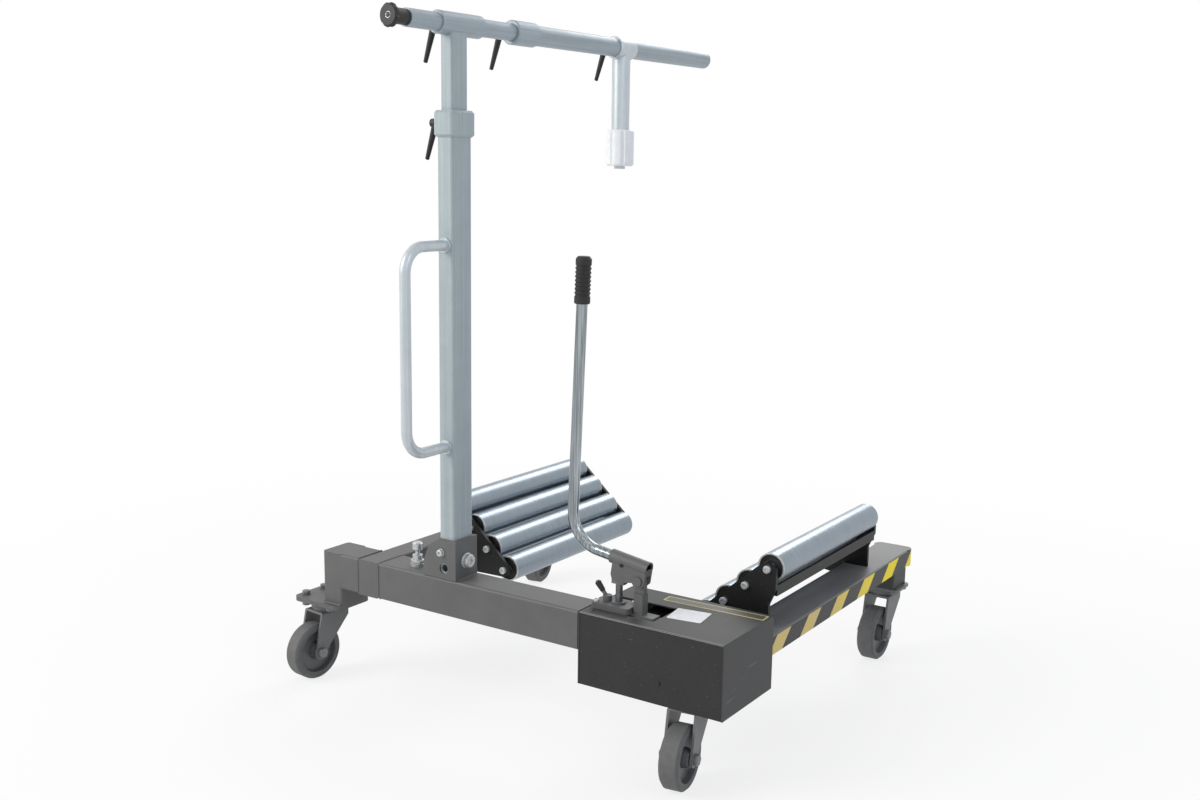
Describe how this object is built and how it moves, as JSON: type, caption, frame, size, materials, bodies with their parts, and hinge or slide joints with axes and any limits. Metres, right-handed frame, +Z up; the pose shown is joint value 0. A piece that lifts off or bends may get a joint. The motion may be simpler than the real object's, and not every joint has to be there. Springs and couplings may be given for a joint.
{
  "type": "hydraulic wheel dolly",
  "caption": "Truck wheel dolly on swivel casters: two roller cradles close under a tyre by a hand pump, with a mast and sliding cross bar that steady the wheel.",
  "frame": {"origin": "on the floor under the middle of the bounding box, with the cradles closed as in the picture", "axes": "+X to the right along the front beam, the way the right half slides out; +Y from the front beam to the open end of the arms; +Z up along the mast"},
  "size_m": [1.092, 1.176, 1.439],
  "materials": {
    "frame_paint": "satin dark grey paint",
    "panel_paint": "satin near-black paint",
    "black_paint": "satin black paint",
    "zinc": "zinc plated",
    "roller_steel": "zinc plated",
    "bright_steel": "bright plated",
    "caster_steel": "zinc grey",
    "caster_tread": "matt dark grey",
    "black_plastic": "matt black",
    "grip_rubber": "matt black",
    "white_plastic": "matt white"
  },
  "bodies": {
    "left_frame": {"front_beam": "frame_paint", "left_arm": "frame_paint", "left_feet": "frame_paint", "mast_bracket": "frame_paint", "bracket_bolts": "zinc", "plunger_body": "zinc", "left_bank_plates": "black_paint", "left_bank_strip": "black_paint", "left_roller_axles": "zinc", "ram_rod": "bright_steel", "mast_tube": "zinc", "mast_collar": "zinc", "mast_handle": "zinc", "left_caster_plates": "caster_steel"},
    "carriage": {"inner_beam": "zinc", "right_arm": "frame_paint", "pump_base": "frame_paint", "caster_spacers": "frame_paint", "pump_cover": "frame_paint", "front_panel": "panel_paint", "pump_block": "frame_paint", "oil_tank": "black_paint", "ram_cylinder": "zinc", "right_bank_plates": "black_paint", "right_bank_strip": "black_paint", "right_roller_axles": "zinc", "right_caster_plates": "caster_steel"},
    "pump_handle": {"lever_socket": "frame_paint", "pump_lever": "bright_steel", "lever_grip": "grip_rubber"},
    "pump_piston": {"pump_piston": "bright_steel"},
    "release_valve": {"release_valve": "frame_paint"},
    "plunger_pin": {"plunger_pin": "zinc"},
    "mast_slider": {"mast_inner_tube": "zinc", "tee_sleeve": "zinc"},
    "inner_bar": {"bar_inner_tube": "zinc", "bar_knob": "black_plastic"},
    "outer_bar": {"bar_outer_tube": "zinc"},
    "hanger": {"hanger_clamp": "zinc"},
    "guide_sleeve": {"guide_sleeve": "white_plastic"},
    "mast_clamp_lever": {"mast_clamp_lever": "black_plastic"},
    "tee_clamp_lever": {"tee_clamp_lever": "black_plastic"},
    "bar_clamp_lever": {"bar_clamp_lever": "black_plastic"},
    "hanger_clamp_lever": {"hanger_clamp_lever": "black_plastic"},
    "front_left_fork": {"front_left_fork": "caster_steel"},
    "front_left_wheel": {"front_left_wheel": "caster_tread"},
    "rear_left_fork": {"rear_left_fork": "caster_steel"},
    "rear_left_wheel": {"rear_left_wheel": "caster_tread"},
    "front_right_fork": {"front_right_fork": "caster_steel"},
    "front_right_wheel": {"front_right_wheel": "caster_tread"},
    "rear_right_fork": {"rear_right_fork": "caster_steel"},
    "rear_right_wheel": {"rear_right_wheel": "caster_tread"},
    "left_roller_1": {"left_roller_1": "roller_steel"},
    "left_roller_2": {"left_roller_2": "roller_steel"},
    "left_roller_3": {"left_roller_3": "roller_steel"},
    "left_roller_4": {"left_roller_4": "roller_steel"},
    "right_roller_1": {"right_roller_1": "roller_steel"},
    "right_roller_2": {"right_roller_2": "roller_steel"},
    "right_roller_3": {"right_roller_3": "roller_steel"},
    "right_roller_4": {"right_roller_4": "roller_steel"}
  },
  "joints": [
    {"name": "jaw_slide", "type": "slide", "parent": "left_frame", "child": "carriage", "axis": [1, 0, 0], "range_m": [0, 0.36]},
    {"name": "pump_stroke", "type": "hinge", "parent": "carriage", "child": "pump_handle", "pos_m": [0.331, -0.376, 0.368], "axis": [0, -1, 0], "range_deg": [0, 24]},
    {"name": "piston_stroke", "type": "slide", "parent": "carriage", "child": "pump_piston", "axis": [0, 0, -1], "range_m": [0, 0.0204]},
    {"name": "release_turn", "type": "hinge", "parent": "carriage", "child": "release_valve", "pos_m": [0.255, -0.376, 0.324], "axis": [0, 0, 1], "range_deg": [0, 90]},
    {"name": "plunger_drop", "type": "slide", "parent": "left_frame", "child": "plunger_pin", "axis": [0, 0, 1], "range_m": [-0.01, 0]},
    {"name": "mast_height", "type": "slide", "parent": "left_frame", "child": "mast_slider", "axis": [0, 0, 1], "range_m": [-0.08, 0.25]},
    {"name": "bar_slide", "type": "slide", "parent": "mast_slider", "child": "inner_bar", "axis": [0, 1, 0], "range_m": [-0.05, 0.075]},
    {"name": "outer_bar_slide", "type": "slide", "parent": "inner_bar", "child": "outer_bar", "axis": [0, 1, 0], "range_m": [-0.04, 0.18]},
    {"name": "hanger_slide", "type": "slide", "parent": "outer_bar", "child": "hanger", "axis": [0, 1, 0], "range_m": [-0.25, 0.34]},
    {"name": "guide_spin", "type": "hinge", "parent": "hanger", "child": "guide_sleeve", "pos_m": [-0.107, 0.201, 1.19], "axis": [0, 0, 1], "continuous": true},
    {"name": "mast_clamp_turn", "type": "hinge", "parent": "left_frame", "child": "mast_clamp_lever", "pos_m": [-0.15, -0.4, 1.226], "axis": [1, 0, 0], "range_deg": [-45, 45]},
    {"name": "tee_clamp_turn", "type": "hinge", "parent": "mast_slider", "child": "tee_clamp_lever", "pos_m": [-0.15, -0.407, 1.414], "axis": [1, 0, 0], "range_deg": [-45, 45]},
    {"name": "bar_clamp_turn", "type": "hinge", "parent": "outer_bar", "child": "bar_clamp_lever", "pos_m": [-0.15, -0.195, 1.414], "axis": [1, 0, 0], "range_deg": [-45, 45]},
    {"name": "hanger_clamp_turn", "type": "hinge", "parent": "hanger", "child": "hanger_clamp_lever", "pos_m": [-0.15, 0.201, 1.414], "axis": [1, 0, 0], "range_deg": [-45, 45]},
    {"name": "front_left_swivel", "type": "hinge", "parent": "left_frame", "child": "front_left_fork", "pos_m": [-0.492, -0.394, 0.15], "axis": [0, 0, 1], "continuous": true},
    {"name": "front_left_spin", "type": "hinge", "parent": "front_left_fork", "child": "front_left_wheel", "pos_m": [-0.49639, -0.43577, 0.0625], "axis": [0.9945, -0.1045, 0], "continuous": true},
    {"name": "rear_left_swivel", "type": "hinge", "parent": "left_frame", "child": "rear_left_fork", "pos_m": [-0.492, 0.384, 0.15], "axis": [0, 0, 1], "continuous": true},
    {"name": "rear_left_spin", "type": "hinge", "parent": "rear_left_fork", "child": "rear_left_wheel", "pos_m": [-0.50073, 0.42508, 0.0625], "axis": [-0.9781, -0.2079, 0], "continuous": true},
    {"name": "front_right_swivel", "type": "hinge", "parent": "carriage", "child": "front_right_fork", "pos_m": [0.452, -0.389, 0.15], "axis": [0, 0, 1], "continuous": true},
    {"name": "front_right_spin", "type": "hinge", "parent": "front_right_fork", "child": "front_right_wheel", "pos_m": [0.45785, -0.43059, 0.0625], "axis": [0.9903, 0.1392, 0], "continuous": true},
    {"name": "rear_right_swivel", "type": "hinge", "parent": "carriage", "child": "rear_right_fork", "pos_m": [0.494, 0.466, 0.15], "axis": [0, 0, 1], "continuous": true},
    {"name": "rear_right_spin", "type": "hinge", "parent": "rear_right_fork", "child": "rear_right_wheel", "pos_m": [0.494, 0.424, 0.0625], "axis": [1, 0, 0], "continuous": true},
    {"name": "left_roller_1_spin", "type": "hinge", "parent": "left_frame", "child": "left_roller_1", "pos_m": [-0.14914, 0.076, 0.24925], "axis": [0, 1, 0], "continuous": true},
    {"name": "left_roller_2_spin", "type": "hinge", "parent": "left_frame", "child": "left_roller_2", "pos_m": [-0.19609, 0.076, 0.2905], "axis": [0, 1, 0], "continuous": true},
    {"name": "left_roller_3_spin", "type": "hinge", "parent": "left_frame", "child": "left_roller_3", "pos_m": [-0.24305, 0.076, 0.33175], "axis": [0, 1, 0], "continuous": true},
    {"name": "left_roller_4_spin", "type": "hinge", "parent": "left_frame", "child": "left_roller_4", "pos_m": [-0.29, 0.076, 0.373], "axis": [0, 1, 0], "continuous": true},
    {"name": "right_roller_1_spin", "type": "hinge", "parent": "carriage", "child": "right_roller_1", "pos_m": [0.36314, 0.076, 0.24925], "axis": [0, 1, 0], "continuous": true},
    {"name": "right_roller_2_spin", "type": "hinge", "parent": "carriage", "child": "right_roller_2", "pos_m": [0.41009, 0.076, 0.2905], "axis": [0, 1, 0], "continuous": true},
    {"name": "right_roller_3_spin", "type": "hinge", "parent": "carriage", "child": "right_roller_3", "pos_m": [0.45705, 0.076, 0.33175], "axis": [0, 1, 0], "continuous": true},
    {"name": "right_roller_4_spin", "type": "hinge", "parent": "carriage", "child": "right_roller_4", "pos_m": [0.504, 0.076, 0.373], "axis": [0, 1, 0], "continuous": true}
  ],
  "couplings": [
    {"joint": "piston_stroke", "follows": "pump_stroke", "m_per_rad": 0.0482}
  ]
}
